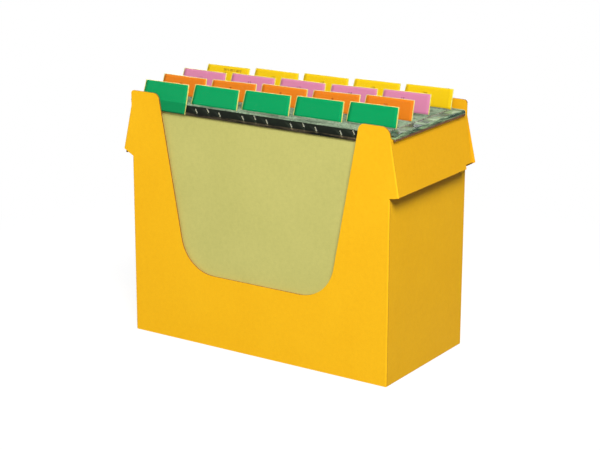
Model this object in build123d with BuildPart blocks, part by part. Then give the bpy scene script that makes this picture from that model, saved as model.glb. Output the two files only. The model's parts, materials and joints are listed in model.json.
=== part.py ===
import os
from math import cos, radians, sin, tan

from build123d import *

os.makedirs("parts", exist_ok=True)

# Board carton, outside sizes. The origin is on the floor under the middle of the box.
board = 1.6
box_width = 322.0
box_depth = 158.0
rail_height = 257.5
crease_radius = 1.3

# Front and back panels: ears above the rails, and a U cut-out between them
ear_rise = 12.5
ear_inner_radius = 7.0
ear_outer_radius = 3.5
worn_ear_radius = 10.0
cut_bottom = 79.5
cut_bottom_half = 90.0
cut_top_half = 125.0
cut_radius = 42.0

# Side flaps, rolled over the rails and slanting outwards
flap_drop = 57.5
flap_angle = 10.4
wing_drop = 53.0
wing_angle = 12.9
slit_drop = 59.5
nick_length = 15.5
end_tab_lift = 4.5
end_tab_height = 31.0
end_tab_gap = 0.6

# Bottom flaps and the glue tab that closes the blank
bottom_seam = 0.8
flap_side_gap = 0.5
minor_flap_length = 76.0
minor_flap_taper = 8.0
major_flap_chamfer = 6.0
glue_tab_width = 30.0
glue_tab_height = 180.0
glue_tab_taper = 6.0

# The row of hanging folders
folder_rows = 4
tab_positions = 5
row_shift = (0.5, -3.0, -4.0, 2.0)
front_room = 1.05
rear_room = 7.75
folder_gap = 0.95
floor_room = 20.8

# Folder card and its hems
card = 0.35
hem_height = 11.6
hem_above_rail = 4.5
hook_reach = 10.4

# Flat steel hanger bars
bar_thickness = 0.8
bar_clearance = 0.1
bar_height = 10.4
seat_gap = 0.25
notch_room = 1.0
tip_length = 2.6
tip_drop = 2.4
tip_chamfer = 1.0

# Slots in the front hem, in threes at each tab position
slot_offsets = (-17.5, -2.5, 12.5)
slot_width = 1.3
slot_length = 4.8
slot_angle = 28.0
slot_above_hem_foot = 6.2
middle_slot_lift = 2.3

# Index tabs: a clear sleeve, and the coloured insert in it
sleeve_wall = 0.25
sleeve_slot = 0.4
insert_thickness = 0.25
tab_rise = 20.0
tab_lean = 19.5
tab_inset = 1.4
tab_flare = 1.0
tab_corner = 0.8
tab_foot_inset = 1.6
tab_clearance = 0.15
insert_margin = 0.7
peg_clearance = 0.2
peg_depth = 0.3

# Derived sizes of the carton
folder_count = folder_rows * tab_positions
half_width = box_width / 2
half_depth = box_depth / 2
inner_half_width = half_width - board
inner_half_depth = half_depth - board
inner_depth = 2 * inner_half_depth
ear_height = rail_height + ear_rise
crown_x = half_width - board
crown_z = rail_height - board
lean = radians(flap_angle)
flap_foot_z = rail_height - flap_drop
flap_top = (crown_x + board * cos(lean), crown_z + board * sin(lean))
flap_foot = (flap_top[0] + (flap_top[1] - flap_foot_z) * tan(lean), flap_foot_z)
wing_foot_z = rail_height - wing_drop
wing_foot = (flap_top[0] + (flap_top[1] - wing_foot_z) * tan(radians(wing_angle)), wing_foot_z)
slit_height = rail_height - slit_drop
floor_top = 2 * board

# Derived sizes of the folders
folder_pitch = (inner_depth - front_room - rear_room) / folder_count
sleeve_depth = 2 * sleeve_wall + sleeve_slot
hem = 2 * card + bar_thickness + 2 * bar_clearance
pocket = folder_pitch - folder_gap - sleeve_depth - tab_clearance - 2 * hem
folder_depth = 2 * hem + pocket
card_half_width = crown_x - hook_reach
hem_top = rail_height + hem_above_rail
hem_foot = hem_top - hem_height
card_foot = floor_top + floor_room
bar_top = hem_top - card - bar_clearance
bar_foot = bar_top - bar_height
tab_pitch = 2 * card_half_width / tab_positions
tab_half_width = tab_pitch / 2 - tab_inset
tab_bend = hem_top + sleeve_depth
tab_top = hem_top + tab_rise
print(f"{folder_count} folders at {folder_pitch:.2f} mm, pocket {pocket:.2f} mm, tab pitch {tab_pitch:.1f} mm")


def save(builder, name):
    """Label a finished piece and write it under its own name."""
    builder.part.label = name
    export_step(builder.part, f"parts/{name}.step")


def closed_outline(right, left):
    """Join a right-hand half, listed from the bottom up, to the mirror image of a left-hand half."""
    return right + [(-x, z) for x, z in reversed(left)]


# Front and back panels: wings beside the flaps, ears above the rails, and the U cut-out
def panel_half(wing):
    """Half a panel, from its foot up over the wing and the ear and down into the cut-out."""
    return [
        (half_width, 0),
        (half_width, slit_height),
        wing,
        flap_top,
        (flap_top[0], ear_height),
        (cut_top_half, ear_height),
        (cut_bottom_half, cut_bottom),
    ]


def panel_radii(ear_radius):
    """Corner radii of half a panel, in the same order."""
    foot = slit = wing_tip = shoulder = 0
    return [foot, slit, wing_tip, shoulder, ear_radius, ear_inner_radius, cut_radius]


for name, face_y, inward, right_ear_radius, right_wing in (
    ("front_panel", -half_depth, 1, worn_ear_radius, flap_foot),
    ("back_panel", half_depth, -1, ear_outer_radius, wing_foot),
):
    with BuildPart() as panel:
        with BuildSketch(Plane.XZ.offset(-face_y)):
            with BuildLine():
                FilletPolyline(
                    *closed_outline(panel_half(right_wing), panel_half(wing_foot)),
                    radius=panel_radii(right_ear_radius) + panel_radii(ear_outer_radius)[::-1],
                    close=True,
                )
            make_face()
        extrude(amount=-inward * board)
        outer_face = panel.faces().sort_by(Axis.Y)[0 if inward == 1 else -1]
        creases = outer_face.edges().filter_by(
            lambda e: abs(e.center().X) >= half_width
            and e.center().Z < rail_height
            and e.length > ear_rise
            and abs(e.tangent_at(0.5).X) < 0.5
        )
        fillet(creases, radius=crease_radius)
    save(panel, name)

# Side walls: upright to the slit, then leaning in to the crown of the fold
with BuildPart() as side_wall_right:
    with BuildSketch(Plane.XZ):
        with BuildLine():
            Polyline(
                (inner_half_width, 0),
                (half_width, 0),
                (half_width, slit_height),
                (crown_x, crown_z),
                (crown_x - board, crown_z),
                (inner_half_width, slit_height),
                close=True,
            )
        make_face()
    extrude(amount=inner_half_depth, both=True)
save(side_wall_right, "side_wall_right")

with BuildPart() as side_wall_left:
    mirror(side_wall_right.part, about=Plane.YZ)
    with BuildSketch(Plane.XZ.offset(-inner_half_depth)):
        with BuildLine():
            Polyline(
                (-inner_half_width - board / 2, floor_top + glue_tab_taper),
                (-inner_half_width + glue_tab_width, floor_top + 2 * glue_tab_taper),
                (-inner_half_width + glue_tab_width, glue_tab_height),
                (-inner_half_width - board / 2, glue_tab_height + glue_tab_taper),
                close=True,
            )
        make_face()
    extrude(amount=board)
save(side_wall_left, "side_wall_left")

# Side flaps: the rounded crown is the rail, and the end tabs are glued behind the wings
foot_back = (flap_foot[0] - board * cos(lean), flap_foot[1] - board * sin(lean))
end_tab_foot = flap_foot_z + end_tab_lift
end_tab_top = end_tab_foot + end_tab_height
end_tab_top_x = crown_x + (crown_z - end_tab_top) * tan(lean)
with BuildPart() as side_flap_right:
    with BuildSketch(Plane.XZ):
        with BuildLine():
            CenterArc((crown_x, crown_z), board, 180, flap_angle - 180)
            Polyline(
                flap_top,
                flap_foot,
                foot_back,
                (crown_x, crown_z),
                (crown_x - board, crown_z),
            )
        make_face()
    extrude(amount=inner_half_depth, both=True)
    for end_y, inward in ((inner_half_depth, 1), (-inner_half_depth, -1)):
        with BuildSketch(Plane.XZ.offset(end_y)):
            with BuildLine():
                Polyline(
                    (half_width + end_tab_gap, end_tab_foot),
                    (foot_back[0], end_tab_foot),
                    (end_tab_top_x, end_tab_top),
                    (half_width + end_tab_gap, end_tab_top),
                    close=True,
                )
            make_face()
        extrude(amount=-inward * board)
    with BuildSketch(Plane.XZ.offset(-inner_half_depth)):
        with Locations((flap_foot[0], flap_foot_z)):
            Rectangle(2 * end_tab_height, 2 * end_tab_lift)
    extrude(amount=nick_length, mode=Mode.SUBTRACT)
save(side_flap_right, "side_flap_right")

with BuildPart() as side_flap_left:
    mirror(side_flap_right.part, about=Plane.YZ)
save(side_flap_left, "side_flap_left")

# Bottom: two major flaps outside that meet on the middle seam
with BuildPart() as bottom_flap_front:
    with BuildSketch():
        with Locations((0, -(inner_half_depth + bottom_seam / 2) / 2)):
            Rectangle(
                2 * (inner_half_width - flap_side_gap),
                inner_half_depth - bottom_seam / 2,
            )
        chamfer(vertices().sort_by(Axis.Y)[-2:], length=major_flap_chamfer)
    extrude(amount=board)
save(bottom_flap_front, "bottom_flap_front")

with BuildPart() as bottom_flap_back:
    mirror(bottom_flap_front.part, about=Plane.XZ)
save(bottom_flap_back, "bottom_flap_back")

# Bottom: two minor flaps inside, tapered so that they turn in freely
minor_tip_x = inner_half_width - minor_flap_length
with BuildPart() as bottom_flap_right:
    with BuildSketch(Plane.XY.offset(board)):
        with BuildLine():
            Polyline(
                (inner_half_width, -inner_half_depth + flap_side_gap),
                (inner_half_width, inner_half_depth - flap_side_gap),
                (minor_tip_x, inner_half_depth - minor_flap_taper),
                (minor_tip_x, -inner_half_depth + minor_flap_taper),
                close=True,
            )
        make_face()
    extrude(amount=board)
save(bottom_flap_right, "bottom_flap_right")

with BuildPart() as bottom_flap_left:
    mirror(bottom_flap_right.part, about=Plane.YZ)
save(bottom_flap_left, "bottom_flap_left")

# Outline of a hanger bar, from the middle of its foot round the right-hand hook
notch_inner = crown_x - board - notch_room
notch_outer = crown_x + board + notch_room
tip_x = notch_outer + tip_length
seat = rail_height + seat_gap
bar_half = [
    (notch_inner, bar_foot),
    (notch_inner, seat),
    (notch_outer, seat),
    (notch_outer, rail_height - tip_drop),
    (tip_x - tip_chamfer, rail_height - tip_drop),
    (tip_x, rail_height - tip_drop + tip_chamfer),
    (tip_x, bar_top - 2 * tip_chamfer),
    (tip_x - 2 * tip_chamfer, bar_top),
]

slot_z = hem_foot + slot_above_hem_foot
slot_heights = (slot_z, slot_z + middle_slot_lift, slot_z)
slots = [
    (tab_pitch * (n - (tab_positions - 1) / 2) + offset, height)
    for n in range(tab_positions)
    for offset, height in zip(slot_offsets, slot_heights)
]
rise = tab_top - tab_bend
top_shift = rise * tan(radians(tab_lean))


def sleeve_line(y, foot, top):
    """Points of a line up the tab at depth y: upright in front of the hem, leaning back above it."""
    share = (top - tab_bend) / rise
    return [(y, foot), (y, tab_bend), (y + top_shift * share, top)]


for k in range(folder_count):
    number = f"{k + 1:02d}"
    hem_y = -inner_half_depth + front_room + sleeve_depth + tab_clearance + k * folder_pitch

    # Folder card: a hem turned outwards over each bar, two leaves, and the creased foot
    front_line = [
        (hem_y + card / 2, hem_foot),
        (hem_y + card / 2, hem_top - card / 2),
        (hem_y + hem - card / 2, hem_top - card / 2),
        (hem_y + hem - card / 2, card_foot + card / 2),
    ]
    middle = hem_y + folder_depth / 2
    back_line = [(2 * middle - y, z) for y, z in reversed(front_line)]
    with BuildPart() as folder:
        with BuildSketch(Plane.YZ):
            with BuildLine():
                Polyline(*front_line, *back_line)
            trace(line_width=card)
        extrude(amount=card_half_width, both=True)
        with BuildSketch(Plane.XZ.offset(-hem_y)):
            with Locations(*slots):
                Rectangle(slot_width, slot_length, rotation=slot_angle)
        extrude(amount=-card - bar_clearance / 2, mode=Mode.SUBTRACT)
        for bar_y in (hem_y + card + bar_clearance, hem_y + folder_depth - hem + card + bar_clearance):
            with BuildSketch(Plane.XZ.offset(-bar_y)):
                with BuildLine():
                    Polyline(*closed_outline(bar_half, bar_half), close=True)
                make_face()
            extrude(amount=-bar_thickness)
    save(folder, f"folder_{number}")

    # Index tab: the sleeve is folded at its top and has two pegs behind, for the slots
    place_x = tab_pitch * (k % tab_positions - (tab_positions - 1) / 2)
    tab_x = place_x + row_shift[k // tab_positions]
    sleeve_back = hem_y - tab_clearance - sleeve_wall / 2
    sleeve_front = sleeve_back - sleeve_slot - sleeve_wall
    sleeve_middle = (sleeve_back + sleeve_front) / 2
    fold_z = tab_top - sleeve_wall / 2
    with BuildPart() as tab:
        with BuildSketch(Plane.YZ.offset(tab_x)):
            with BuildLine():
                Polyline(
                    *sleeve_line(sleeve_front, hem_foot, fold_z),
                    *reversed(sleeve_line(sleeve_back, hem_foot, fold_z)),
                )
            trace(line_width=sleeve_wall)
        extrude(amount=tab_pitch / 2, both=True)
        with BuildSketch(Plane.XZ):
            with BuildLine():
                Polyline(
                    (tab_x - tab_half_width + tab_foot_inset, hem_foot - sleeve_wall),
                    (tab_x + tab_half_width - tab_foot_inset, hem_foot - sleeve_wall),
                    (tab_x + tab_half_width + tab_flare, tab_bend),
                    (tab_x + tab_half_width, tab_top + sleeve_wall),
                    (tab_x - tab_half_width, tab_top + sleeve_wall),
                    (tab_x - tab_half_width - tab_flare, tab_bend),
                    close=True,
                )
            make_face()
            chamfer(vertices().sort_by(Axis.Y)[-2:], length=tab_corner)
        extrude(amount=half_depth, both=True, mode=Mode.INTERSECT)
        with BuildSketch(Plane.XZ.offset(-(hem_y - tab_clearance - sleeve_wall / 2))):
            with Locations(
                (place_x + slot_offsets[0], slot_heights[0]),
                (place_x + slot_offsets[2], slot_heights[2]),
            ):
                Rectangle(
                    slot_width - 2 * peg_clearance,
                    slot_length - 2 * peg_clearance,
                    rotation=slot_angle,
                )
        extrude(amount=-(sleeve_wall / 2 + tab_clearance + peg_depth))
        with BuildSketch(Plane.YZ.offset(tab_x)) as insert_side:
            with BuildLine():
                Polyline(*sleeve_line(sleeve_middle, hem_foot + insert_margin, tab_top - insert_margin))
            trace(line_width=insert_thickness)
        extrude(amount=tab_half_width - tab_foot_inset - insert_margin, both=True)
    save(tab, f"tab_{number}")
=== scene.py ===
# %% [markdown]
# # A board box for hanging files
#
# The object is a folded carton of yellow board whose side walls roll over into
# slanted flaps. Twenty hanging folders ride on those folds, and each one carries a
# coloured index tab. The frame that is loaded here holds the real sizes and the
# bodies that move, so this lesson only gives every piece its finished mesh and its
# finish. All sizes are in metres.

# %% Load the frame
import json
import math
import random

import bmesh
import bpy
from mathutils import Matrix, Vector, noise


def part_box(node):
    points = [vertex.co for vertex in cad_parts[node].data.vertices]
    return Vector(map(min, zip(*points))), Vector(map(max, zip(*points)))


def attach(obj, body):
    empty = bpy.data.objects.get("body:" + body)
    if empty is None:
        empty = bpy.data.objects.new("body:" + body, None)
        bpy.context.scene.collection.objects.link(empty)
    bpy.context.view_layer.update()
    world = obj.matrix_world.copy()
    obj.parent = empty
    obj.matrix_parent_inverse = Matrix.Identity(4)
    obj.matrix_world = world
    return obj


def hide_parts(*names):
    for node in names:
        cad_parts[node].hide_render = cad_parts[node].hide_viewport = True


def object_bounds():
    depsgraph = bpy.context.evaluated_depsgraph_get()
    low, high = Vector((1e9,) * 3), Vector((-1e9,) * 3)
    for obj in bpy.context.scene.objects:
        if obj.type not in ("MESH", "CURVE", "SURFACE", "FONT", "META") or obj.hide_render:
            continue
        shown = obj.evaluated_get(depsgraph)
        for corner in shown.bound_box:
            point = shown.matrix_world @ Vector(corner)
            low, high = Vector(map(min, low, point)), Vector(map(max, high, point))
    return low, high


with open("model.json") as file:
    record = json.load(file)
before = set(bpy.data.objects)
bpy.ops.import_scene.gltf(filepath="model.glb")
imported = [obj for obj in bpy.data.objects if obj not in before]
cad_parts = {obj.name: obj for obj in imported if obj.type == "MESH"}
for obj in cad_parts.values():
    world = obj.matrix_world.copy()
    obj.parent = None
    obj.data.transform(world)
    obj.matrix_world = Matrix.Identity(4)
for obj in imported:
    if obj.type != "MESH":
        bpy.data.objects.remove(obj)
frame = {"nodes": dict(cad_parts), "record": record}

MM = 0.001
CAD_LOW, CAD_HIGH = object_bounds()
FOLDER_NODES = sorted(name for name in frame["nodes"] if name.startswith("folder_"))
print(f"{len(FOLDER_NODES)} folders, box {[round(v, 3) for v in CAD_HIGH - CAD_LOW]} m")

# %% [markdown]
# ## Camera
#
# A product shot like this one is taken from far away with a long lens, so upright
# edges stay nearly parallel. The camera is set on a sphere round the box by its
# azimuth, elevation and distance, because those three are easy to reason about,
# and its matrix is built from them directly. A small roll tips the picture, as a
# hand-held camera would.

# %% Place the camera
CAMERA_AZIMUTH = math.radians(33.38)
CAMERA_ELEVATION = math.radians(16.12)
CAMERA_ROLL = math.radians(0.17)
CAMERA_DISTANCE = 1.8937
CAMERA_LENS = 105.25
CAMERA_SENSOR = 36
CAMERA_AIM = Vector((2.6, 1.7, 126.65)) * MM

back = Vector((
    math.sin(CAMERA_AZIMUTH) * math.cos(CAMERA_ELEVATION),
    -math.cos(CAMERA_AZIMUTH) * math.cos(CAMERA_ELEVATION),
    math.sin(CAMERA_ELEVATION),
))
level = Vector((math.cos(CAMERA_AZIMUTH), math.sin(CAMERA_AZIMUTH), 0))
upright = back.cross(level)
right = level * math.cos(CAMERA_ROLL) + upright * math.sin(CAMERA_ROLL)
up = upright * math.cos(CAMERA_ROLL) - level * math.sin(CAMERA_ROLL)
camera_data = bpy.data.cameras.new("camera")
camera_data.lens = CAMERA_LENS
camera_data.sensor_width = CAMERA_SENSOR
camera = bpy.data.objects.new("camera", camera_data)
bpy.context.scene.collection.objects.link(camera)
turn = Matrix((right, up, back)).transposed().to_4x4()
camera.matrix_world = Matrix.Translation(CAMERA_AIM + back * CAMERA_DISTANCE) @ turn
bpy.context.scene.camera = camera
bpy.context.scene.view_settings.view_transform = "Standard"
print("camera at", [round(v, 3) for v in camera.matrix_world.translation])

# %% [markdown]
# ## Small node helpers
#
# Shader trees and geometry trees are both built from the same few steps, so those
# steps come first. One helper makes any node and feeds its inputs with numbers or
# links. The others name the steps that come back often: maths, noise, a colour mix,
# and a smooth step between two values of a coordinate.

# %% Helpers for node trees


def add_node(tree, kind, inputs, **settings):
    """A node with its settings, and its inputs fed by a number, a tuple or a link. None feeds nothing."""
    node = tree.nodes.new(kind)
    for label, value in settings.items():
        setattr(node, label, value)
    for label, value in inputs.items():
        if isinstance(value, (int, float, tuple)):
            node.inputs[label].default_value = value
        elif value is not None:
            tree.links.new(value, node.inputs[label])
    return node


def add_math(tree, operation, a, b=0.0):
    """A maths node on two sockets or numbers."""
    return add_node(tree, "ShaderNodeMath", {0: a, 1: b}, operation=operation).outputs[0]


def add_scaled(tree, value, gain, offset):
    """A socket times a gain, plus an offset."""
    return add_math(tree, "ADD", add_math(tree, "MULTIPLY", value, gain), offset)


def add_noise(tree, vector, scale, detail=2.0, rough=0.5):
    """A noise texture on a vector, with its own scale."""
    inputs = {"Vector": vector, "Scale": scale, "Detail": detail, "Roughness": rough}
    return add_node(tree, "ShaderNodeTexNoise", inputs).outputs["Fac"]


def add_stretch(tree, vector, scale):
    """A vector scaled by its own factor along each axis."""
    node = add_node(tree, "ShaderNodeVectorMath", {0: vector, 1: scale}, operation="MULTIPLY")
    return node.outputs[0]


def add_mix(tree, factor, a, b):
    """A colour between a and b."""
    inputs = {"Factor": factor, "A": a, "B": b}
    return add_node(tree, "ShaderNodeMix", inputs, data_type="RGBA").outputs["Result"]


def add_step(tree, value, start, full):
    """0 at start and 1 at full, eased between them."""
    inputs = {"Value": value, "From Min": start, "From Max": full}
    node = add_node(tree, "ShaderNodeMapRange", inputs, interpolation_type="SMOOTHSTEP")
    return node.outputs["Result"]


def axis_of(tree, vector, axis):
    """One axis of a vector, as a socket."""
    return add_node(tree, "ShaderNodeSeparateXYZ", {0: vector}).outputs[axis]


def link_object(name, data):
    """Put a mesh, a curve or a lamp in the scene under a name."""
    thing = bpy.data.objects.new(name, data)
    bpy.context.scene.collection.objects.link(thing)
    return thing


print("helpers ready")

# %% [markdown]
# ## Stage and light
#
# The studio is a white room with a pale floor. A large key lamp stands high on the
# right, where it throws the broad soft shadow below the flap. A weaker one opens up
# the front, and another the back. A plain grey world fills the rest. Rays that look
# straight at the world or the floor find them white, so the page stays clean without
# any extra light on the board, and only a soft shadow is left round the foot.

# %% Make the floor, the world and the lamps
FLOOR_HALF = 6.0
FILL_LEVEL = 0.06
BOUNCE = 0.12
FLOOR_WHITE = (0.95, 0.95, 0.95, 1)
SHADOW_SHARE = 0.22
SHADOW_REACH = (0.2, 0.62)
LAMP_AIM = Vector((0, 0, 0.13))
LAMPS = [
    ("key lamp", (1.88, -2.1, 2.97), 236.0, 1.6),
    ("front lamp", (-0.4, -3.0, 1.1), 18.0, 1.9),
    ("rear lamp", (-1.9, 2.3, 1.7), 100.0, 2.0),
]


def seen_directly(tree):
    """A 0 or 1 value for rays that look straight, by reflection or through glass."""
    ray = tree.nodes.new("ShaderNodeLightPath").outputs
    mirrored_too = add_math(tree, "MAXIMUM", ray["Is Camera Ray"], ray["Is Glossy Ray"])
    return add_math(tree, "MAXIMUM", mirrored_too, ray["Is Transmission Ray"])


def make_floor():
    """A wide floor, white to the eye away from the box and dim for the light it throws back."""
    mesh = bpy.data.meshes.new("floor")
    corners = [(-1, -1), (1, -1), (1, 1), (-1, 1)]
    mesh.from_pydata([(x * FLOOR_HALF, y * FLOOR_HALF, 0) for x, y in corners], [], [(0, 1, 2, 3)])
    floor = link_object("floor", mesh)
    material = bpy.data.materials.new("studio floor")
    material.use_nodes = True
    tree = material.node_tree
    tree.nodes.clear()
    eye = seen_directly(tree)
    colour = add_mix(tree, eye, (BOUNCE, BOUNCE, BOUNCE, 1), FLOOR_WHITE)
    matte = add_node(tree, "ShaderNodeBsdfDiffuse", {"Color": colour}).outputs[0]
    white = tree.nodes.new("ShaderNodeEmission").outputs[0]
    coords = tree.nodes.new("ShaderNodeTexCoord").outputs["Object"]
    span = add_node(tree, "ShaderNodeVectorMath", {0: coords}, operation="LENGTH").outputs["Value"]
    share = add_scaled(tree, add_step(tree, span, *SHADOW_REACH), SHADOW_SHARE, 1 - SHADOW_SHARE)
    mixed = {0: add_math(tree, "MULTIPLY", eye, share), 1: matte, 2: white}
    surface = add_node(tree, "ShaderNodeMixShader", mixed).outputs[0]
    add_node(tree, "ShaderNodeOutputMaterial", {0: surface})
    mesh.materials.append(material)


def make_world():
    """White where it is looked at, and a plain grey fill for everything else."""
    world = bpy.data.worlds.new("studio")
    bpy.context.scene.world = world
    world.use_nodes = True
    tree = world.node_tree
    fill = (FILL_LEVEL, FILL_LEVEL, FILL_LEVEL, 1)
    colour = add_mix(tree, seen_directly(tree), fill, (1, 1, 1, 1))
    tree.links.new(colour, tree.nodes["Background"].inputs["Color"])


def make_lamp(name, place, power, size):
    """A square soft lamp that looks at the middle of the box."""
    data = bpy.data.lights.new(name, "AREA")
    data.energy = power
    data.size = size
    lamp = link_object(name, data)
    lamp.location = place
    lamp.rotation_euler = (LAMP_AIM - Vector(place)).to_track_quat("-Z", "Y").to_euler()


make_floor()
make_world()
for lamp in LAMPS:
    make_lamp(*lamp)
print("floor, world and", len(LAMPS), "lamps")

# %% [markdown]
# ## Shared shader groups
#
# Board, folder card and tab inserts are all paper, so they share two effects. One
# is the pressed fibre of the surface, which gives a height and a fine mask. The
# other is the cloudy unevenness of dyed stock. Both read Object coordinates, so the
# scale is the real one on every piece, and a group keeps the two alike everywhere.

# %% Build the paper groups
TOOTH_SHARE = 0.6
BROAD_SHARE = 0.45


def new_group(name, amount, masks):
    """A shader group that turns a vector and an amount into masks, and its two end nodes."""
    group = bpy.data.node_groups.new(name, "ShaderNodeTree")
    group.interface.new_socket("Vector", in_out="INPUT", socket_type="NodeSocketVector")
    socket = group.interface.new_socket(amount, in_out="INPUT", socket_type="NodeSocketFloat")
    socket.default_value = 1.0
    for label in masks:
        group.interface.new_socket(label, in_out="OUTPUT", socket_type="NodeSocketFloat")
    return group, group.nodes.new("NodeGroupInput"), group.nodes.new("NodeGroupOutput")


def fibre_group():
    """Pressed paper fibre: short strands both ways, over a fine tooth."""
    group, start, end = new_group("paper fibre", "Fineness", ["Height", "Mask"])
    inputs = {0: start.outputs["Vector"], "Scale": start.outputs["Fineness"]}
    scaled = add_node(group, "ShaderNodeVectorMath", inputs, operation="SCALE").outputs[0]
    across, upwards = (add_noise(group, add_stretch(group, scaled, stretch), 1.0)
                       for stretch in ((300, 900, 1400), (1400, 900, 300)))
    tooth = add_noise(group, scaled, 2400.0, detail=3.0)
    strands = add_math(group, "MAXIMUM", across, upwards)
    height = add_math(group, "ADD", strands, add_math(group, "MULTIPLY", tooth, TOOTH_SHARE))
    group.links.new(height, end.inputs["Height"])
    group.links.new(strands, end.inputs["Mask"])
    return group


def cloud_group():
    """Uneven dye: broad clouds and a finer mottle, as a mask about a half."""
    group, start, end = new_group("dye clouds", "Contrast", ["Mask"])
    broad = add_noise(group, start.outputs["Vector"], 18.0, detail=3.0)
    fine = add_noise(group, start.outputs["Vector"], 190.0, detail=4.0, rough=0.6)
    both = add_math(group, "ADD", add_math(group, "MULTIPLY", broad, BROAD_SHARE),
                    add_math(group, "MULTIPLY", fine, 1 - BROAD_SHARE))
    from_middle = add_math(group, "SUBTRACT", both, 0.5)
    spread = add_math(group, "MULTIPLY", from_middle, start.outputs["Contrast"])
    kept = add_node(group, "ShaderNodeClamp", {"Value": add_math(group, "ADD", spread, 0.5)})
    group.links.new(kept.outputs[0], end.inputs["Mask"])
    return group


PAPER_FIBRE = fibre_group()
DYE_CLOUDS = cloud_group()
print("groups:", [g.name for g in bpy.data.node_groups])

# %% [markdown]
# ## Paper finishes
#
# Each paper finish is a Principled shader whose colour runs between two close tones
# of the same stock. The tones are written as the eye sees them, in sRGB, and one
# small function turns them into light values, because that is how a colour is
# picked from a real sample. The inner liner of the board is a little duller than the
# outer one, partly as a real difference of stock and partly as painted shade that
# tones down the light on the rolled-over flaps, and the raw edge shows its brown core.

# %% Build the board and card finishes
FLUTE = 3.2 * MM
FLUTE_SHARE = 0.03
TURN = 2 * math.pi


def tone(red, green, blue):
    """An sRGB colour, 0 to 255, as a linear colour with alpha."""
    def linear(value):
        share = value / 255
        return share / 12.92 if share <= 0.04045 else ((share + 0.055) / 1.055) ** 2.4
    return (linear(red), linear(green), linear(blue), 1.0)


def new_material(name, **constants):
    """A material, its tree, its Principled shader and its Object coordinates."""
    material = bpy.data.materials.new(name)
    material.use_nodes = True
    tree = material.node_tree
    shader = tree.nodes["Principled BSDF"]
    for label, value in constants.items():
        shader.inputs[label.replace("_", " ")].default_value = value
    return material, tree, shader, tree.nodes.new("ShaderNodeTexCoord").outputs["Object"]


def add_group(tree, group, coords, **values):
    """A group node on the coordinates, with its own input values."""
    return add_node(tree, "ShaderNodeGroup", {"Vector": coords, **values}, node_tree=group)


def add_bump(tree, shader, height, depth, wave=None, wave_depth=0.0):
    """Raise the surface by a height, on top of a broad wave where there is one."""
    normal = None
    for relief, distance in ((wave, wave_depth), (height, depth)):
        if relief is not None:
            inputs = {"Height": relief, "Distance": distance, "Normal": normal}
            normal = add_node(tree, "ShaderNodeBump", inputs).outputs["Normal"]
    tree.links.new(normal, shader.inputs["Normal"])


def paper_colour(tree, coords, low, high, fineness, contrast, fleck):
    """Dyed stock: two tones in clouds, darker in the hollows of the fibre. Colour and fibre."""
    fibre = add_group(tree, PAPER_FIBRE, coords, Fineness=fineness)
    clouds = add_group(tree, DYE_CLOUDS, coords, Contrast=contrast)
    base = add_mix(tree, clouds.outputs["Mask"], low, high)
    hollow = add_math(tree, "SUBTRACT", 0.62, fibre.outputs["Mask"])
    share = add_node(tree, "ShaderNodeClamp", {"Value": add_math(tree, "MULTIPLY", hollow, fleck)})
    dark = tuple(value * 0.6 for value in low[:3]) + (1.0,)
    return add_mix(tree, share.outputs[0], base, dark), fibre


def flute_relief(tree, coords):
    """Faint upright ribs, where the inner wave of the board shows through its liner."""
    along = add_math(tree, "ADD", axis_of(tree, coords, "X"), axis_of(tree, coords, "Y"))
    phase = add_math(tree, "MULTIPLY", along, TURN / FLUTE)
    drift = add_math(tree, "MULTIPLY", add_noise(tree, coords, 9.0), 2.0)
    return add_math(tree, "SINE", add_math(tree, "ADD", phase, drift))


def paper_finish(name, low, high, rough=0.7, fineness=1.0, contrast=1.6, depth=0.06, fleck=0.45,
                 wave=0.0, flutes=False, sheen=0.25):
    """A plain paper stock. Depths are in millimetres."""
    material, tree, shader, coords = new_material(name, Roughness=rough, Specular_IOR_Level=sheen)
    colour, fibre = paper_colour(tree, coords, low, high, fineness, contrast, fleck)
    tree.links.new(colour, shader.inputs["Base Color"])
    slow = add_noise(tree, coords, 11.0, detail=1.0) if wave else None
    if flutes:
        ribs = add_math(tree, "MULTIPLY", flute_relief(tree, coords), FLUTE_SHARE)
        slow = add_math(tree, "ADD", slow, ribs)
    add_bump(tree, shader, fibre.outputs["Height"], depth * MM, slow, wave * MM)
    return material


BOARD = paper_finish("yellow board", tone(244, 180, 14), tone(253, 194, 24), rough=0.6,
                     wave=0.35, flutes=True, sheen=0.2)
# Inner liner: partly a duller stock, partly painted shade for the side flaps, which tilt up into the
# light.
BOARD_INSIDE_AND_FLAP_SHADE = paper_finish("inner liner", tone(234, 170, 14), tone(243, 183, 22), rough=0.65,
                            wave=0.35, flutes=True, sheen=0.2)
BOARD_EDGE = paper_finish("board cut edge", tone(128, 78, 26), tone(178, 116, 44), rough=0.9,
                          fineness=2.0, depth=0.1)
CARD = paper_finish("khaki card", tone(188, 184, 103), tone(205, 199, 117), rough=0.75, fineness=0.8,
                    wave=0.6)
CARD_EDGE = paper_finish("card cut edge", tone(196, 190, 150), tone(224, 218, 182), rough=0.85,
                         fineness=3.0)
INK = paper_finish("printed ink", tone(84, 20, 12), tone(100, 32, 18), rough=0.6, sheen=0.1)
print("paper finishes:", [m.name for m in (BOARD, BOARD_INSIDE_AND_FLAP_SHADE, BOARD_EDGE, CARD, CARD_EDGE, INK)])

# %% [markdown]
# ## The dark inside of a folder
#
# The card is printed almost black on its inside, and that side is what shows on the
# hems. Where the card is turned over a bar, its top is painted a lighter grey green,
# for the light from above that falls on it, and the foot of the hem, where hands hold
# it, has rubbed to a dull brown. Both follow the height, so each mask is a smooth
# step on Object Z, broken by noise.

# %% Build the dark hem finish
HEM_TOP = max(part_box(node)[1].z for node in FOLDER_NODES)
HEM_HEIGHT = 11.6 * MM
HEM_FOOT = HEM_TOP - HEM_HEIGHT
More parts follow.
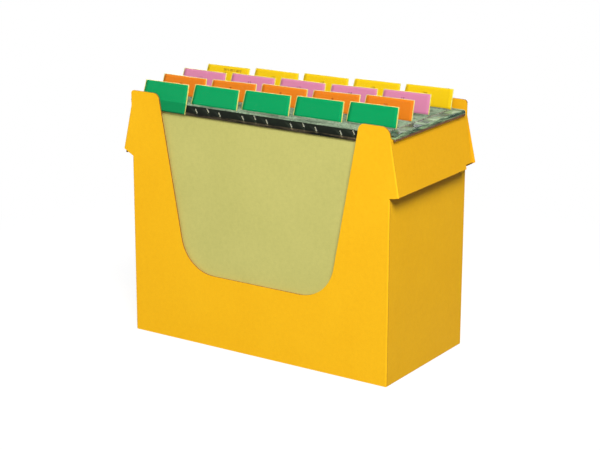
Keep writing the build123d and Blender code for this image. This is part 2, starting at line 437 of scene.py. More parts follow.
# Heights of the painted lighter top of the fold, where the light from above falls.
FOLD_TOP_LIGHT = (HEM_TOP - 1.1 * MM, HEM_TOP - 0.4 * MM)
FOOT_WEAR = (HEM_FOOT + 3.6 * MM, HEM_FOOT + 2.6 * MM)


def dark_side_finish():
    """Near-black print with a painted lighter top on the fold and a dull brown rubbed foot."""
    material, tree, shader, coords = new_material("dark card side", Roughness=0.7,
                                                  Specular_IOR_Level=0.15)
    print_colour, fibre = paper_colour(tree, coords, tone(10, 14, 9), tone(24, 33, 20),
                                       fineness=1.0, contrast=2.5, fleck=0.45)
    height = axis_of(tree, coords, "Z")
    speckle = add_noise(tree, coords, 420.0, detail=4.0, rough=0.65)
    # Painted light: the top of the fold turns grey green, broken by noise along the row.
    lit_fold_tone = add_mix(tree, add_step(tree, speckle, 0.3, 0.65), tone(92, 112, 88), tone(148, 166, 138))
    fold_light_noise = add_noise(tree, add_stretch(tree, coords, (22, 90, 1)), 1.0)
    kept = add_scaled(tree, add_step(tree, fold_light_noise, 0.35, 0.6), 0.6, 0.4)
    fold = add_math(tree, "MULTIPLY", add_step(tree, height, *FOLD_TOP_LIGHT),
                    add_math(tree, "MULTIPLY", add_step(tree, speckle, 0.1, 0.38), kept))
    colour = add_mix(tree, fold, print_colour, lit_fold_tone)
    patches = add_noise(tree, add_stretch(tree, coords, (14, 1, 120)), 1.0, detail=4.0, rough=0.7)
    rubbed = add_math(tree, "MULTIPLY", add_step(tree, height, *FOOT_WEAR),
                      add_step(tree, patches, 0.4, 0.62))
    brown = add_mix(tree, speckle, tone(72, 62, 46), tone(172, 156, 122))
    tree.links.new(add_mix(tree, rubbed, colour, brown), shader.inputs["Base Color"])
    add_bump(tree, shader, fibre.outputs["Height"], 0.05 * MM)
    return material


CARD_INSIDE = dark_side_finish()
print("dark side from", round(HEM_FOOT, 4), "to", round(HEM_TOP, 4), "m")

# %% [markdown]
# ## Plastic and steel
#
# The tab sleeve is thin clear vinyl. Rendered as solid glass it would shade the
# insert behind it, so it is a Principled shader that is almost gone when looked at
# squarely and turns shiny at a slant, through its Alpha. Its welded rim gathers
# light, so the rim has a finish of its own, a pale painted highlight. The hanger bars
# are rolled steel strip, and their hooks are dipped in green plastic, with painted
# glints along the row and a painted brown shadow where it meets the rail.

# %% Build the plastic and steel finishes
RAIL_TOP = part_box("side_flap_right")[1].z
# Heights of the painted brown shadow that the hook tips throw where they meet the rail.
RAIL_SHADOW_BAND = (RAIL_TOP + 0.6 * MM, RAIL_TOP - 0.7 * MM)


def sleeve_finish():
    """Clear vinyl with faint rub marks."""
    material, tree, shader, coords = new_material("clear vinyl", IOR=1.48)
    rub = add_noise(tree, add_stretch(tree, coords, (60, 60, 900)), 1.0, detail=3.0)
    colour = add_mix(tree, rub, tone(104, 112, 100), tone(140, 146, 136))
    tree.links.new(colour, shader.inputs["Base Color"])
    tree.links.new(add_scaled(tree, rub, 0.2, 0.08), shader.inputs["Roughness"])
    slant = add_node(tree, "ShaderNodeLayerWeight", {"Blend": 0.15}).outputs["Facing"]
    tree.links.new(add_math(tree, "MULTIPLY", slant, 0.25), shader.inputs["Alpha"])
    return material


def rim_finish():
    """The welded rim of the sleeve, painted pale as the highlight it catches."""
    material, tree, shader, coords = new_material("vinyl rim highlight", Alpha=0.75, Specular_IOR_Level=0.3)
    rub = add_noise(tree, coords, 240.0, detail=3.0)
    # Painted highlight: a pale yellow for the light the rim catches.
    colour = add_mix(tree, rub, tone(222, 214, 84), tone(246, 240, 150))
    tree.links.new(colour, shader.inputs["Base Color"])
    tree.links.new(add_math(tree, "MULTIPLY", rub, 0.4), shader.inputs["Roughness"])
    return material


def insert_finish(name, red, green, blue):
    """Coloured tab paper, close to one even tone."""
    low = tone(red * 0.97, green * 0.97, blue * 0.97)
    high = tone(min(255, red * 1.02), min(255, green * 1.02), min(255, blue * 1.02))
    return paper_finish(name, low, high, rough=0.4, fineness=1.6, contrast=1.2, depth=0.01,
                        fleck=0.1, sheen=0.02)


def rubbed_finish(name, stretch, dull, bright, low, high, **constants):
    """A hard finish that runs from a dull tone to a bright one in its rubbed places."""
    material, tree, shader, coords = new_material(name, **constants)
    rub = add_noise(tree, add_stretch(tree, coords, stretch), 1.0, detail=4.0)
    colour = add_mix(tree, add_step(tree, rub, low, high), dull, bright)
    tree.links.new(colour, shader.inputs["Base Color"])
    tree.links.new(add_scaled(tree, rub, 0.3, 0.1), shader.inputs["Roughness"])
    return material


def dipped_finish():
    """Green plastic on the hooks, with painted glints along the row and a painted brown shadow at the
    rail.
    """
    material, tree, shader, coords = new_material("dipped hook ends", Coat_Weight=0.8,
                                                  Coat_Roughness=0.1)
    # Pale stripes are painted glints along the row of hooks; the same noise sets the roughness.
    glint_streak = add_noise(tree, add_stretch(tree, coords, (20, 60, 800)), 1.0, detail=2.0)
    green = add_mix(tree, add_step(tree, glint_streak, 0.4, 0.72), tone(26, 58, 42), tone(160, 192, 138))
    # Painted shadow: the tips turn brown towards their foot at the rail.
    rail_shadow = add_step(tree, axis_of(tree, coords, "Z"), *RAIL_SHADOW_BAND)
    tree.links.new(add_mix(tree, rail_shadow, green, tone(104, 62, 24)), shader.inputs["Base Color"])
    tree.links.new(add_scaled(tree, glint_streak, 0.3, 0.1), shader.inputs["Roughness"])
    return material


SLEEVE = sleeve_finish()
RIM_HIGHLIGHT = rim_finish()
STEEL = rubbed_finish("rolled strip", (40, 400, 900), tone(118, 124, 114), tone(182, 186, 176),
                      0.3, 0.7, Metallic=0.6)
DIPPED = dipped_finish()
INSERTS = [
    ("tab_green", insert_finish("green insert", 0, 147, 84)),
    ("tab_orange", insert_finish("orange insert", 218, 119, 24)),
    ("tab_pink", insert_finish("pink insert", 202, 125, 158)),
    ("tab_yellow", insert_finish("yellow insert", 226, 188, 15)),
]
print("all finishes:", len(bpy.data.materials))

# %% [markdown]
# ## Lines with rounded corners
#
# Nearly every piece here is a flat sheet bent along straight creases. A bent sheet
# is easiest to describe by the line of its section, with a radius at each crease.
# This helper turns such a list of corners into points along straights and arcs.

# %% Helper: round the corners of a line


def rounded(points, radii, closed=False, steps=6):
    """Points along a line of 2-D corners, where each inner corner has its own radius."""
    line = []
    count = len(points)
    for i, (corner, radius) in enumerate(zip(points, radii)):
        here = Vector(corner)
        if radius <= 0 or (not closed and i in (0, count - 1)):
            line.append(here)
            continue
        before = (Vector(points[i - 1]) - here).normalized()
        after = (Vector(points[(i + 1) % count]) - here).normalized()
        half = before.angle(after) / 2
        centre = here + (before + after).normalized() * (radius / math.sin(half))
        start = here + before * (radius / math.tan(half)) - centre
        end = here + after * (radius / math.tan(half)) - centre
        sweep = end.angle_signed(start)
        for step in range(steps + 1):
            angle = sweep * step / steps
            line.append(centre + Vector((
                start.x * math.cos(angle) - start.y * math.sin(angle),
                start.x * math.sin(angle) + start.y * math.cos(angle),
            )))
    return line


def with_stops(line, step):
    """The same line, with its long stretches cut into lengths of about a step."""
    full = [line[0]]
    for before, after in zip(line, line[1:]):
        pieces = max(1, round((after - before).length / step))
        full += [before.lerp(after, n / pieces) for n in range(1, pieces + 1)]
    return full


print("a rounded corner has", len(rounded([(0, 0), (1, 0), (1, 1)], [0, 0.2, 0])) - 2, "points")

# %% [markdown]
# ## A bent sheet as a mesh
#
# The sheet is drawn along its section line and pushed out sideways, so that its two
# faces and its cut edges are known from the start. Each gets its own material slot:
# front of the stock, back of the stock, and raw edge. That is simpler than finding
# them again later in a shader.

# %% Helper: a sheet from its section line
FRONT, BACK, RAW = range(3)


def offset_sides(line, thickness):
    """The section line moved half a thickness to either side, mitred at its corners."""
    sides = ([], [])
    for i, point in enumerate(line):
        first = (point - line[i - 1]).normalized() if i else (line[1] - point).normalized()
        second = (line[i + 1] - point).normalized() if i < len(line) - 1 else first
        normal = Vector((-first.y - second.y, first.x + second.x)).normalized()
        miter = 1 / max(normal.dot(Vector((-first.y, first.x))), 0.5)
        for side, sign in zip(sides, (1, -1)):
            side.append(point + normal * (sign * thickness / 2 * miter))
    return sides


def finish_mesh(name, mesh, materials):
    """A linked piece from a finished bmesh, with its materials."""
    data = bpy.data.meshes.new(name)
    mesh.to_mesh(data)
    mesh.free()
    for material in materials:
        data.materials.append(material)
    return link_object(name, data)


def section_sheet(name, line, thickness, stops, place, materials, bend=None):
    """A closed sheet along a section line. place turns (along, a, b) into a point in space."""
    mesh = bmesh.new()
    grids = []
    for side in offset_sides(line, thickness):
        grid = []
        for point in side:
            spots = [Vector(place(stop, point.x, point.y)) for stop in stops]
            if bend:
                spots = [spot + Vector(bend(spot)) for spot in spots]
            grid.append([mesh.verts.new(spot) for spot in spots])
        grids.append(grid)
    inner, outer = grids
    rows, last = len(line) - 1, len(stops) - 1

    def quad(a, b, c, d, slot):
        face = mesh.faces.new((a, b, c, d))
        face.material_index = slot
        face.smooth = slot != RAW

    for i in range(rows):
        for j in range(last):
            quad(inner[i][j], inner[i + 1][j], inner[i + 1][j + 1], inner[i][j + 1], BACK)
            quad(outer[i][j + 1], outer[i + 1][j + 1], outer[i + 1][j], outer[i][j], FRONT)
        quad(inner[i][0], outer[i][0], outer[i + 1][0], inner[i + 1][0], RAW)
        quad(inner[i][last], inner[i + 1][last], outer[i + 1][last], outer[i][last], RAW)
    for j in range(last):
        quad(inner[0][j], inner[0][j + 1], outer[0][j + 1], outer[0][j], RAW)
        quad(inner[-1][j + 1], inner[-1][j], outer[-1][j], outer[-1][j + 1], RAW)
    bmesh.ops.recalc_face_normals(mesh, faces=mesh.faces)
    return finish_mesh(name, mesh, materials)


def settle(thing):
    """Apply a piece's modifiers, so that its mesh is final."""
    graph = bpy.context.evaluated_depsgraph_get()
    final = bpy.data.meshes.new_from_object(thing.evaluated_get(graph))
    final.name = thing.name
    thing.modifiers.clear()
    thing.data = final
    return thing


def steps_between(low, high, count):
    """Evenly spaced stops from low to high."""
    return [low + (high - low) * i / count for i in range(count + 1)]


print("sheet helpers ready")

# %% [markdown]
# ## Folder cards
#
# A hanging folder is one sheet of card: khaki outside, dark inside. It hangs in two
# leaves from its creased foot, and each leaf is turned outwards over a bar, so a
# strip of the dark inside shows along its top. The section line goes from the front
# hem over the bar, down, round the foot and up again. Real leaves are never quite
# flat, so a slow noise bows each one by a fraction of a millimetre.

# %% Measures and section of a card
CARD_THICKNESS = 0.35 * MM
CARD_HALF_WIDTH = 149.0 * MM
HEM_DEPTH = 1.7 * MM
TAB_COUNT = 5
TAB_PITCH = 2 * CARD_HALF_WIDTH / TAB_COUNT
CARD_COLUMNS = 20
CARD_STEP = 20 * MM
LEAF_BOW = 0.3 * MM
BOW_WAVES = (14, 7.3, 11)
NEARLY_ROUND = 0.99
FOLDER_LOW, FOLDER_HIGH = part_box(FOLDER_NODES[0])
CARD_FOOT = FOLDER_LOW.z
FOLDER_DEPTH = FOLDER_HIGH.y - FOLDER_LOW.y


def card_line(front):
    """Section of one folder card whose front hem face is at depth front."""
    half = CARD_THICKNESS / 2
    fold = (HEM_DEPTH - CARD_THICKNESS) / 2 * NEARLY_ROUND
    rear = front + FOLDER_DEPTH
    foot = (FOLDER_DEPTH - 2 * HEM_DEPTH + CARD_THICKNESS) / 2 * NEARLY_ROUND
    corners = [
        (front + half, HEM_FOOT, 0),
        (front + half, HEM_TOP - half, fold),
        (front + HEM_DEPTH - half, HEM_TOP - half, fold),
        (front + HEM_DEPTH - half, CARD_FOOT + half, foot),
        (rear - HEM_DEPTH + half, CARD_FOOT + half, foot),
        (rear - HEM_DEPTH + half, HEM_TOP - half, fold),
        (rear - half, HEM_TOP - half, fold),
        (rear - half, HEM_FOOT, 0),
    ]
    line = rounded([(y, z) for y, z, r in corners], [r for y, z, r in corners])
    return with_stops(line, CARD_STEP)


def leaf_bow(seed):
    """A slow in and out of the leaves, nothing at the hems and the foot."""
    def shift(spot):
        share = (spot.z - CARD_FOOT) / (HEM_FOOT - CARD_FOOT)
        if not 0 < share < 1:
            return (0, 0, 0)
        across, apart, upwards = BOW_WAVES
        wave = noise.noise(Vector((spot.x * across, seed * apart, spot.z * upwards)))
        return (0, math.sin(math.pi * share) * LEAF_BOW * wave * 2, 0)
    return shift


print("card line has", len(card_line(0)), "points")

# %% [markdown]
# ## Punched hems by Geometry Nodes
#
# The front hem has short slanted slots in threes, for a tab at any of five places,
# and the middle one of each three stands a little higher. They repeat by a rule, so
# a node tree sets them out on two crossed lines of points, lifts every second one,
# puts a cutter on each and takes the cutters away from the card. Its inputs are the
# real sizes, so the same tree punches every folder.

# %% Build the punching tree
SLOT_WIDTH = 1.3 * MM
SLOT_LENGTH = 4.8 * MM
PUNCH_DEPTH = 2 * CARD_THICKNESS + 0.1 * MM
SLOT_TILT = math.radians(-28)
SLOT_STEP = 15.0 * MM
SLOTS_PER_TAB = 3
FIRST_SLOT = -17.5 * MM
SLOT_ABOVE_FOOT = 6.2 * MM
MIDDLE_LIFT = 2.3 * MM


def node_tree(name, inputs):
    """A geometry node tree with a Geometry input and output and the named inputs."""
    tree = bpy.data.node_groups.new(name, "GeometryNodeTree")
    tree.interface.new_socket("Geometry", in_out="INPUT", socket_type="NodeSocketGeometry")
    for label, kind in inputs.items():
        tree.interface.new_socket(label, in_out="INPUT", socket_type="NodeSocket" + kind)
    tree.interface.new_socket("Geometry", in_out="OUTPUT", socket_type="NodeSocketGeometry")
    return tree, tree.nodes.new("NodeGroupInput").outputs, tree.nodes.new("NodeGroupOutput")


def combine(tree, x=0.0, y=0.0, z=0.0):
    """A vector from sockets or numbers."""
    return add_node(tree, "ShaderNodeCombineXYZ", {0: x, 1: y, 2: z}).outputs[0]


def mesh_line(tree, count, start, step):
    """A row of points from a start, a step apart."""
    inputs = {"Count": count, "Start Location": start, "Offset": step}
    return add_node(tree, "GeometryNodeMeshLine", inputs, mode="OFFSET").outputs["Mesh"]


def scatter(tree, points, shape, rotation=None):
    """A real copy of a shape on every point."""
    inputs = {"Points": points, "Instance": shape, "Rotation": rotation}
    copies = add_node(tree, "GeometryNodeInstanceOnPoints", inputs).outputs[0]
    return add_node(tree, "GeometryNodeRealizeInstances", {0: copies}).outputs[0]


def paint(tree, shape, material):
    """The shape with one material."""
    inputs = {"Geometry": shape, "Material": material}
    return add_node(tree, "GeometryNodeSetMaterial", inputs).outputs[0]


def punching_tree():
    """Takes a grid of slanted slots out of the outer layer of a hem."""
    tree, given, end = node_tree("punched slots", {
        "Tab Places": "Int", "Tab Pitch": "Float", "Slots per Tab": "Int", "Slot Step": "Float",
        "First Slot": "Float", "Hem Face": "Float", "Slot Height": "Float", "Middle Lift": "Float",
        "Slot Width": "Float", "Slot Length": "Float", "Depth": "Float", "Tilt": "Float",
        "Edge": "Material",
    })
    gaps = add_math(tree, "SUBTRACT", given["Tab Places"], 1.0)
    first_place = add_math(tree, "MULTIPLY", given["Tab Pitch"], add_math(tree, "MULTIPLY", gaps, -0.5))
    corner = combine(tree, add_math(tree, "ADD", first_place, given["First Slot"]),
                     given["Hem Face"], given["Slot Height"])
    places = mesh_line(tree, given["Tab Places"], corner, combine(tree, given["Tab Pitch"]))
    row = mesh_line(tree, given["Slots per Tab"], None, combine(tree, given["Slot Step"]))
    second = add_math(tree, "MODULO", tree.nodes.new("GeometryNodeInputIndex").outputs[0], 2.0)
    lift = combine(tree, z=add_math(tree, "MULTIPLY", second, given["Middle Lift"]))
    threes = add_node(tree, "GeometryNodeSetPosition", {"Geometry": row, "Offset": lift}).outputs[0]
    size = combine(tree, given["Slot Width"], given["Depth"], given["Slot Length"])
    cube = add_node(tree, "GeometryNodeMeshCube", {"Size": size}).outputs["Mesh"]
    cutters = scatter(tree, scatter(tree, places, threes), paint(tree, cube, given["Edge"]),
                      combine(tree, y=given["Tilt"]))
    inputs = {"Mesh 1": given["Geometry"], "Mesh 2": cutters}
    cut = add_node(tree, "GeometryNodeMeshBoolean", inputs, operation="DIFFERENCE").outputs["Mesh"]
    real = add_node(tree, "GeometryNodeRealizeInstances", {0: cut})
    tree.links.new(real.outputs[0], end.inputs[0])
    return tree


def apply_tree(thing, tree, **values):
    """Run a node tree on a piece with its inputs set by name, and keep the result as its mesh."""
    modifier = thing.modifiers.new(tree.name, "NODES")
    modifier.node_group = tree
    for item in tree.interface.items_tree:
        label = item.name.replace(" ", "_")
        if item.item_type == "SOCKET" and item.in_out == "INPUT" and label in values:
            modifier[item.identifier] = values[label]
    return settle(thing)


PUNCHING = punching_tree()
print("punching tree:", len(PUNCHING.nodes), "nodes")

# %% Make the folder cards


def make_card(number, node):
    """One folder card, bent, bowed and punched."""
    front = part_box(node)[0].y
    card = section_sheet(
        f"card_{number:02d}", card_line(front), CARD_THICKNESS,
        steps_between(-CARD_HALF_WIDTH, CARD_HALF_WIDTH, CARD_COLUMNS),
        lambda x, y, z: (x, y, z), [CARD, CARD_INSIDE, CARD_EDGE], leaf_bow(number))
    apply_tree(
        card, PUNCHING, Tab_Places=TAB_COUNT, Tab_Pitch=TAB_PITCH, Slots_per_Tab=SLOTS_PER_TAB,
        Slot_Step=SLOT_STEP, First_Slot=FIRST_SLOT, Hem_Face=front,
        Slot_Height=HEM_FOOT + SLOT_ABOVE_FOOT, Middle_Lift=MIDDLE_LIFT, Slot_Width=SLOT_WIDTH,
        Slot_Length=SLOT_LENGTH, Depth=PUNCH_DEPTH, Tilt=SLOT_TILT, Edge=CARD_EDGE)
    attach(card, f"hanging_folder_{number:02d}")
    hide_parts(node)
    return card


cards = [make_card(k + 1, node) for k, node in enumerate(FOLDER_NODES)]
print(f"{len(cards)} cards, {len(cards[0].data.polygons)} faces each,",
      [m.name for m in cards[0].data.materials])

# %% [markdown]
# ## Hanger bars
#
# Each leaf hangs on a flat strip of steel that ends in a hook: a notch that sits on
# the rail and a short tip outside it. The outline is drawn once, filled and given
# its thickness, and a small node tree sets one in each hem of the folder, because
# its front and its back bar are the same piece. The coat of dipped plastic is the
# same hook, a little larger all round.

# %% Measures and outline of a bar
BOX_HALF_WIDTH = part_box("side_wall_right")[1].x
CROWN_WIDTH = 3.2 * MM
NOTCH_ROOM = 1.0 * MM
BAR_THICKNESS = 0.8 * MM
BAR_HEIGHT = 10.25 * MM
BAR_ROOM = 0.1 * MM
COAT = 0.15 * MM
BAR_TOP = HEM_TOP - CARD_THICKNESS - BAR_ROOM - COAT
BAR_FOOT = BAR_TOP - BAR_HEIGHT
NOTCH_INNER = BOX_HALF_WIDTH - CROWN_WIDTH - NOTCH_ROOM
NOTCH_OUTER = BOX_HALF_WIDTH + NOTCH_ROOM
SEAT = RAIL_TOP + 0.25 * MM
TIP_FOOT = RAIL_TOP - 2.25 * MM
TIP_X = NOTCH_OUTER + 2.45 * MM
COAT_START = NOTCH_INNER - 5.8 * MM
BAR_ARRIS = 0.15 * MM
COAT_ARRIS = 0.3 * MM
SHARP_ANGLE = math.radians(40)


def hook_outline(grow, start):
    """Right-hand end of a bar from start to its tip, grown by a coat of plastic."""
    corners = [
        (start, BAR_FOOT - grow, 0),
        (NOTCH_INNER + grow, BAR_FOOT - grow, 1.0),
        (NOTCH_INNER + grow, SEAT - grow, 0.5),
        (NOTCH_OUTER - grow, SEAT - grow, 0.5),
        (NOTCH_OUTER - grow, TIP_FOOT - grow, 0.4),
        (TIP_X + grow, TIP_FOOT - grow, 1.0),
        (TIP_X + grow, BAR_TOP + grow, 2.4),
        (start, BAR_TOP + grow, 0),
    ]
    radii = [r * MM for x, z, r in corners]
    return rounded([(x, z) for x, z, r in corners], radii, closed=True, steps=4)


def mirrored(outline):
    """The same outline on the left."""
    return [Vector((-x, z)) for x, z in reversed(outline)]


def strip_mesh(name, outlines, depth, thickness, material):
    """Flat strip from closed outlines in the XZ plane, centred on a depth."""
    mesh = bmesh.new()
    for outline in outlines:
        front = [mesh.verts.new((x, depth - thickness / 2, z)) for x, z in outline]
        rear = [mesh.verts.new((x, depth + thickness / 2, z)) for x, z in outline]
        mesh.faces.new(front)
        mesh.faces.new(rear[::-1])
        for i in range(len(outline)):
            j = (i + 1) % len(outline)
            mesh.faces.new((front[j], front[i], rear[i], rear[j]))
    bmesh.ops.recalc_face_normals(mesh, faces=mesh.faces)
    return finish_mesh(name, mesh, [material])


def soften(thing, width, arris_slot=-1):
    """Round the arrises of a piece, in a slot of their own if asked, and keep its flats flat."""
    bevel = thing.modifiers.new("rounded arrises", "BEVEL")
    bevel.width = width
    bevel.segments = 2
    bevel.material = arris_slot
    bevel.limit_method = "ANGLE"
    bevel.angle_limit = SHARP_ANGLE
    level = thing.modifiers.new("flats shaded flat", "WEIGHTED_NORMAL")
    level.mode = "FACE_AREA"
    return settle(thing)


print("hook outline:", len(hook_outline(0, 0)), "points")

# %% Make the bars and their dipped hooks


def twin_tree():
    """Copies a piece to a second place a step behind the first."""
    tree, given, end = node_tree("twin bars", {"Count": "Int", "Step": "Float", "Finish": "Material"})
    points = mesh_line(tree, given["Count"], None, combine(tree, y=given["Step"]))
    twins = scatter(tree, points, given["Geometry"])
    tree.links.new(paint(tree, twins, given["Finish"]), end.inputs[0])
    return tree


TWIN = twin_tree()


def make_bars(number, node):
    """Both bars of one folder, and the dipped coats of their four hooks."""
    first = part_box(node)[0].y + HEM_DEPTH / 2
    hook = hook_outline(0, 0)[1:-1]
    coat = hook_outline(COAT, COAT_START)
    bars = strip_mesh(f"hanger_bars_{number:02d}", [hook + mirrored(hook)], first, BAR_THICKNESS, STEEL)
    tips = strip_mesh(f"hook_coats_{number:02d}", [coat, mirrored(coat)], first,
                      BAR_THICKNESS + 2 * COAT, DIPPED)
    for piece, arris, finish in ((bars, BAR_ARRIS, STEEL), (tips, COAT_ARRIS, DIPPED)):
        soften(piece, arris)
        apply_tree(piece, TWIN, Count=2, Step=FOLDER_DEPTH - HEM_DEPTH, Finish=finish)
        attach(piece, f"hanging_folder_{number:02d}")
        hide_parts(node)
    return bars


for k, node in enumerate(FOLDER_NODES):
    last_bars = make_bars(k + 1, node)
print("bars:", len(last_bars.data.polygons), "faces a pair")

# %% [markdown]
# ## Index tabs
#
# A tab is a clear sleeve folded at its top, with a coloured paper strip inside. It
# stands in front of the hem and leans back above it. Both follow the same section
# line, one wall either side of the paper, and each row of the sheet is as wide as
# the tab's outline is at that height, which gives the slanted sides and the rounded
# top corners. No two tabs sit quite alike, so each gets a small seeded turn.

# %% Measures and outline of a tab
SLEEVE_WALL = 0.25 * MM
SLEEVE_SLOT = 0.4 * MM
TAB_LEAN = math.radians(19.5)
TAB_TOP = CAD_HIGH.z
TAB_BEND = HEM_TOP + 2 * SLEEVE_WALL + SLEEVE_SLOT
TAB_HALF = 28.4 * MM
TAB_FLARE = 1.0 * MM
TAB_FOOT_INSET = 1.6 * MM
TAB_CORNER = 0.8 * MM
TAB_CLEARANCE = 0.15 * MM
INSERT_THICKNESS = 0.22 * MM
INSERT_MARGIN = 0.5 * MM
RIM_WIDTH = 0.55 * MM
BEND_RADIUS = 2.5 * MM
FOLD_RADIUS = 0.3 * MM
SLEEVE_STEP = 1.2 * MM
INSERT_STEP = 2 * MM


def tab_half_width(z, top, inset):
    """Half the tab's width at a height: slanted sides and rounded top corners."""
    if z <= TAB_BEND:
        share = (z - HEM_FOOT) / (TAB_BEND - HEM_FOOT)
        half = TAB_HALF - TAB_FOOT_INSET + (TAB_FLARE + TAB_FOOT_INSET) * share
    else:
        half = TAB_HALF + TAB_FLARE * (top - z) / (top - TAB_BEND)
    into = TAB_CORNER - (top - z)
    if into > 0:
        half -= TAB_CORNER - math.sqrt(max(TAB_CORNER ** 2 - into ** 2, 0))
    return half - inset


def leaning_line(depth, foot, heights, lean):
    """Section corners of one wall of the tab: upright, then leaning back up to each height."""
    leant = [(depth + (z - TAB_BEND) * math.tan(lean), z) for z in heights]
    return [(depth, foot), (depth, TAB_BEND)] + leant


def tilt_rise(x, z, tilt):
    """How far a tab's tilt lifts a point x beside its middle: nothing at the bend, all at its top."""
    return x * tilt * max(0, z - TAB_BEND) / (TAB_TOP - TAB_BEND)


def tab_sheet(name, line, thickness, pose, top, inset, stops, materials):
    """A bent sheet across the tab whose width follows the tab's outline."""
    tab_x, tilt = pose

    def place(share, y, z):
        x = share * tab_half_width(min(z, top), top, inset)
        return (tab_x + x, y, z + tilt_rise(x, z, tilt))

    return section_sheet(name, line, thickness, stops, place, materials)


def paint_rim(sleeve, pose, top):
    """Give the raw edges and the outermost strip of the sleeve the painted highlight of its welded rim.
    """
    tab_x, tilt = pose
    for polygon in sleeve.data.polygons:
        x, y, z = polygon.center
        z = min(top, z - tilt_rise(x - tab_x, z, tilt))
        beside = abs(x - tab_x) > tab_half_width(z, top, 0) - RIM_WIDTH
        on_rim = beside or z > top - RIM_WIDTH or polygon.material_index == RAW
        polygon.material_index = 1 if on_rim else 0


print("tab is", round(2 * (TAB_HALF + TAB_FLARE) / MM, 1), "mm wide at its bend")

# %% Make the sleeves and inserts
SEED = 7
TILT_MEAN = math.radians(0.8)
TILT_SPREAD = 0.8
LEAN_SPREAD = (-2.5, 0.3)
TOP_ROOM = 0.02 * MM
RIM_START = 0.982
SLEEVE_STOPS = [-1] + steps_between(-RIM_START, RIM_START, 12) + [1]
INSERT_STOPS = steps_between(-1, 1, 14)
chance = random.Random(SEED)


def make_tab(number, node):
    """The clear sleeve and the coloured insert of one tab. Its insert's pose is given back."""
    tab_low, tab_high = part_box(node)
    tab_x = (tab_low.x + tab_high.x) / 2
    lean = TAB_LEAN + math.radians(chance.uniform(*LEAN_SPREAD))
    tilt = math.tan(TILT_MEAN + math.radians(chance.uniform(-TILT_SPREAD, TILT_SPREAD)))
    top = TAB_TOP - TOP_ROOM - abs(tilt) * TAB_HALF
    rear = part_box(FOLDER_NODES[number - 1])[0].y - TAB_CLEARANCE - SLEEVE_WALL / 2
    front = rear - SLEEVE_SLOT - SLEEVE_WALL
    middle = (front + rear) / 2
    fold = [top - 1.2 * RIM_WIDTH - SLEEVE_WALL, top - SLEEVE_WALL / 2]
    walls = leaning_line(front, HEM_FOOT, fold, lean) + leaning_line(rear, HEM_FOOT, fold, lean)[::-1]
    radii = [0, BEND_RADIUS, 0, FOLD_RADIUS, FOLD_RADIUS, 0, BEND_RADIUS, 0]
    sleeve = tab_sheet(f"tab_sleeve_{number:02d}", with_stops(rounded(walls, radii), SLEEVE_STEP),
                       SLEEVE_WALL, (tab_x, tilt), top, 0, SLEEVE_STOPS, [SLEEVE, RIM_HIGHLIGHT, RIM_HIGHLIGHT])
    paint_rim(sleeve, (tab_x, tilt), top)
    slot, paper = INSERTS[(number - 1) // TAB_COUNT]
    strip = leaning_line(middle, HEM_FOOT + INSERT_MARGIN, [top - INSERT_MARGIN], lean)
    strip = with_stops(rounded(strip, [0, BEND_RADIUS, 0]), INSERT_STEP)
    insert = tab_sheet(f"tab_insert_{number:02d}", strip, INSERT_THICKNESS, (tab_x, tilt),
                       top - INSERT_MARGIN, INSERT_MARGIN, INSERT_STOPS, [paper, paper, paper])
    for piece in (sleeve, insert):
        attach(piece, f"hanging_folder_{number:02d}")
        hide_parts(node)
    return tab_x, middle, lean, tilt


tab_poses = [make_tab(k + 1, f"tab_{k + 1:02d}") for k in range(len(FOLDER_NODES))]
print("tabs lean", [round(math.degrees(pose[2]), 1) for pose in tab_poses], "degrees")

# %% [markdown]
# ## Numbers on the inserts
#
# The inserts of the rows behind the first are numbered, and one has a strip of
# three numbers as well. Text is a curve, so it is turned into a mesh first and then
# laid on the leaning paper by moving its points, since a finished piece has to sit
# at the origin unturned.

# %% Print the numbers
NUMBER = {"size": 5.0 * MM, "across": -0.15, "height": 9.6 * MM}
STRIP = {"size": 3.6 * MM, "across": 0.2, "height": 14.2 * MM}
STRIP_TAB = 16
INK_HALF = 0.02 * MM
INK_SINK = 0.015 * MM


def make_number(name, number, words, size, across, height):
    """Printed figures on one insert, at a share of its width and a height above the bend."""
    tab_x, middle, lean, tilt = tab_poses[number - 1]
    curve = bpy.data.curves.new(name, "FONT")
    curve.body = words
    curve.size = size
    curve.align_x = "CENTER"
    curve.extrude = INK_HALF
    flat = link_object(f"{name}_flat", curve)
    graph = bpy.context.evaluated_depsgraph_get()
    mesh = bpy.data.meshes.new_from_object(flat.evaluated_get(graph))
    bpy.data.objects.remove(flat)
    surface = middle - INSERT_THICKNESS / 2 / math.cos(lean) - INK_SINK
    for vertex in mesh.vertices:
        x, along, lift = vertex.co
        x += tab_x + across * TAB_HALF
        rise = (along + height) * math.cos(lean)
        z = TAB_BEND + rise
        vertex.co = (x, surface + rise * math.tan(lean) - lift, z + tilt_rise(x - tab_x, z, tilt))
    mesh.materials.clear()
    mesh.materials.append(INK)
    piece = link_object(name, mesh)
    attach(piece, f"hanging_folder_{number:02d}")
    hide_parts(f"tab_{number:02d}")


for number in range(TAB_COUNT + 1, len(FOLDER_NODES) + 1):
    make_number(f"tab_number_{number:02d}", number, str(number), **NUMBER)
make_number(f"number_strip_{STRIP_TAB:02d}", STRIP_TAB, "0016 0017 0018", **STRIP)
print("numbers on", len(FOLDER_NODES) - TAB_COUNT, "inserts")

# %% [markdown]
# ## The carton
#
# The imported panels already have the exact outlines, the roll-over flaps and the
# U cut-out. Each is copied, its double points are merged and its flat faces joined,
# and its arrises are softened, because cut board is never sharp. Faces that look
# along the sheet are raw cuts and get the brown edge finish, and so do the rounded
# arrises, where the liner is rubbed through. Where the board is only creased, at the
# corners and along the wings, the yellow face runs on. The inner liner shows inside
# the box and, since they are rolled over, on the outside of the side flaps, where its
# duller tone is partly painted shade that tones down the light the flaps catch.

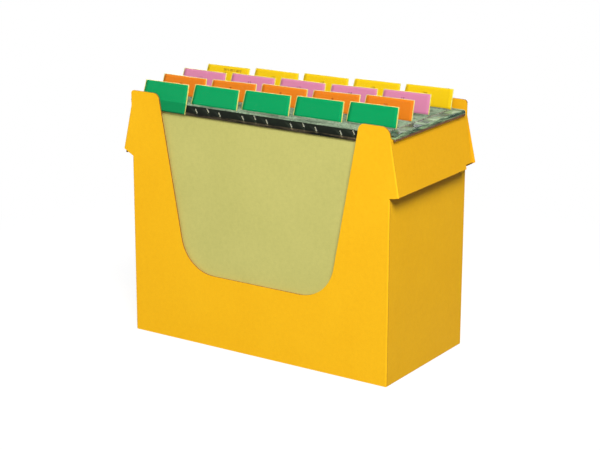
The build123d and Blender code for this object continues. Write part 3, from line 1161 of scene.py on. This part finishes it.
# %% Dress the carton
ARRIS = 0.4 * MM
SAME_POINT = 0.002 * MM
SAME_PLANE = math.radians(0.5)
SQUARELY = 0.9
EDGEWISE = 0.3
CREASE_REACH = 0.5 * MM
OUTSIDE, CUT, INSIDE = range(3)
CARTON_NODES = frame["record"]["behaviour"]["bodies"]["carton"]


def is_raw_cut(name, face):
    """Whether a face of a carton panel is a cut edge that stays open to view."""
    normal, spot = face.normal, face.calc_center_median()
    if name in ("front_panel", "back_panel"):
        at_crease = abs(spot.x) > BOX_HALF_WIDTH - CREASE_REACH and spot.z < RAIL_TOP
        return abs(normal.y) < EDGEWISE and not (at_crease and abs(normal.x) > SQUARELY)
    if name.startswith("side_flap"):
        return abs(normal.y) > SQUARELY or normal.z < -SQUARELY
    if name.startswith("bottom_flap"):
        return abs(normal.z) < EDGEWISE
    return normal.z < -SQUARELY


def is_inner_liner(name, face):
    """Whether a face is the inner side of the blank, which the rolled flaps turn outwards."""
    looks_inwards = face.normal.dot(Vector((0, 0, CAD_HIGH.z / 2)) - face.calc_center_median()) > 0
    return looks_inwards != name.startswith("side_flap")


def dress_panel(name):
    """A softened copy of one carton panel, with its raw cuts marked."""
    mesh = bmesh.new()
    mesh.from_mesh(frame["nodes"][name].data)
    bmesh.ops.remove_doubles(mesh, verts=mesh.verts, dist=SAME_POINT)
    bmesh.ops.dissolve_limit(mesh, angle_limit=SAME_PLANE, verts=mesh.verts, edges=mesh.edges)
    raw = 0
    for face in mesh.faces:
        face.material_index = INSIDE if is_inner_liner(name, face) else OUTSIDE
        if is_raw_cut(name, face):
            face.material_index = CUT
            raw += 1
        face.smooth = True
    piece = finish_mesh(f"{name}_board", mesh, [BOARD, BOARD_EDGE, BOARD_INSIDE_AND_FLAP_SHADE])
    soften(piece, ARRIS, arris_slot=CUT)
    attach(piece, "carton")
    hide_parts(name)
    return raw, piece


def shading_spread(mesh):
    """Degrees between the normal of the largest face and its shading at its corners."""
    face = max(mesh.polygons, key=lambda polygon: polygon.area)
    corners = [mesh.corner_normals[i].vector for i in face.loop_indices]
    return max(math.degrees(face.normal.angle(corner, 0)) for corner in corners)


for name in CARTON_NODES:
    raw, piece = dress_panel(name)
    print(name, raw, "raw cuts,", len(piece.data.polygons), "faces, flats shaded within",
          round(shading_spread(piece.data), 2), "degrees")
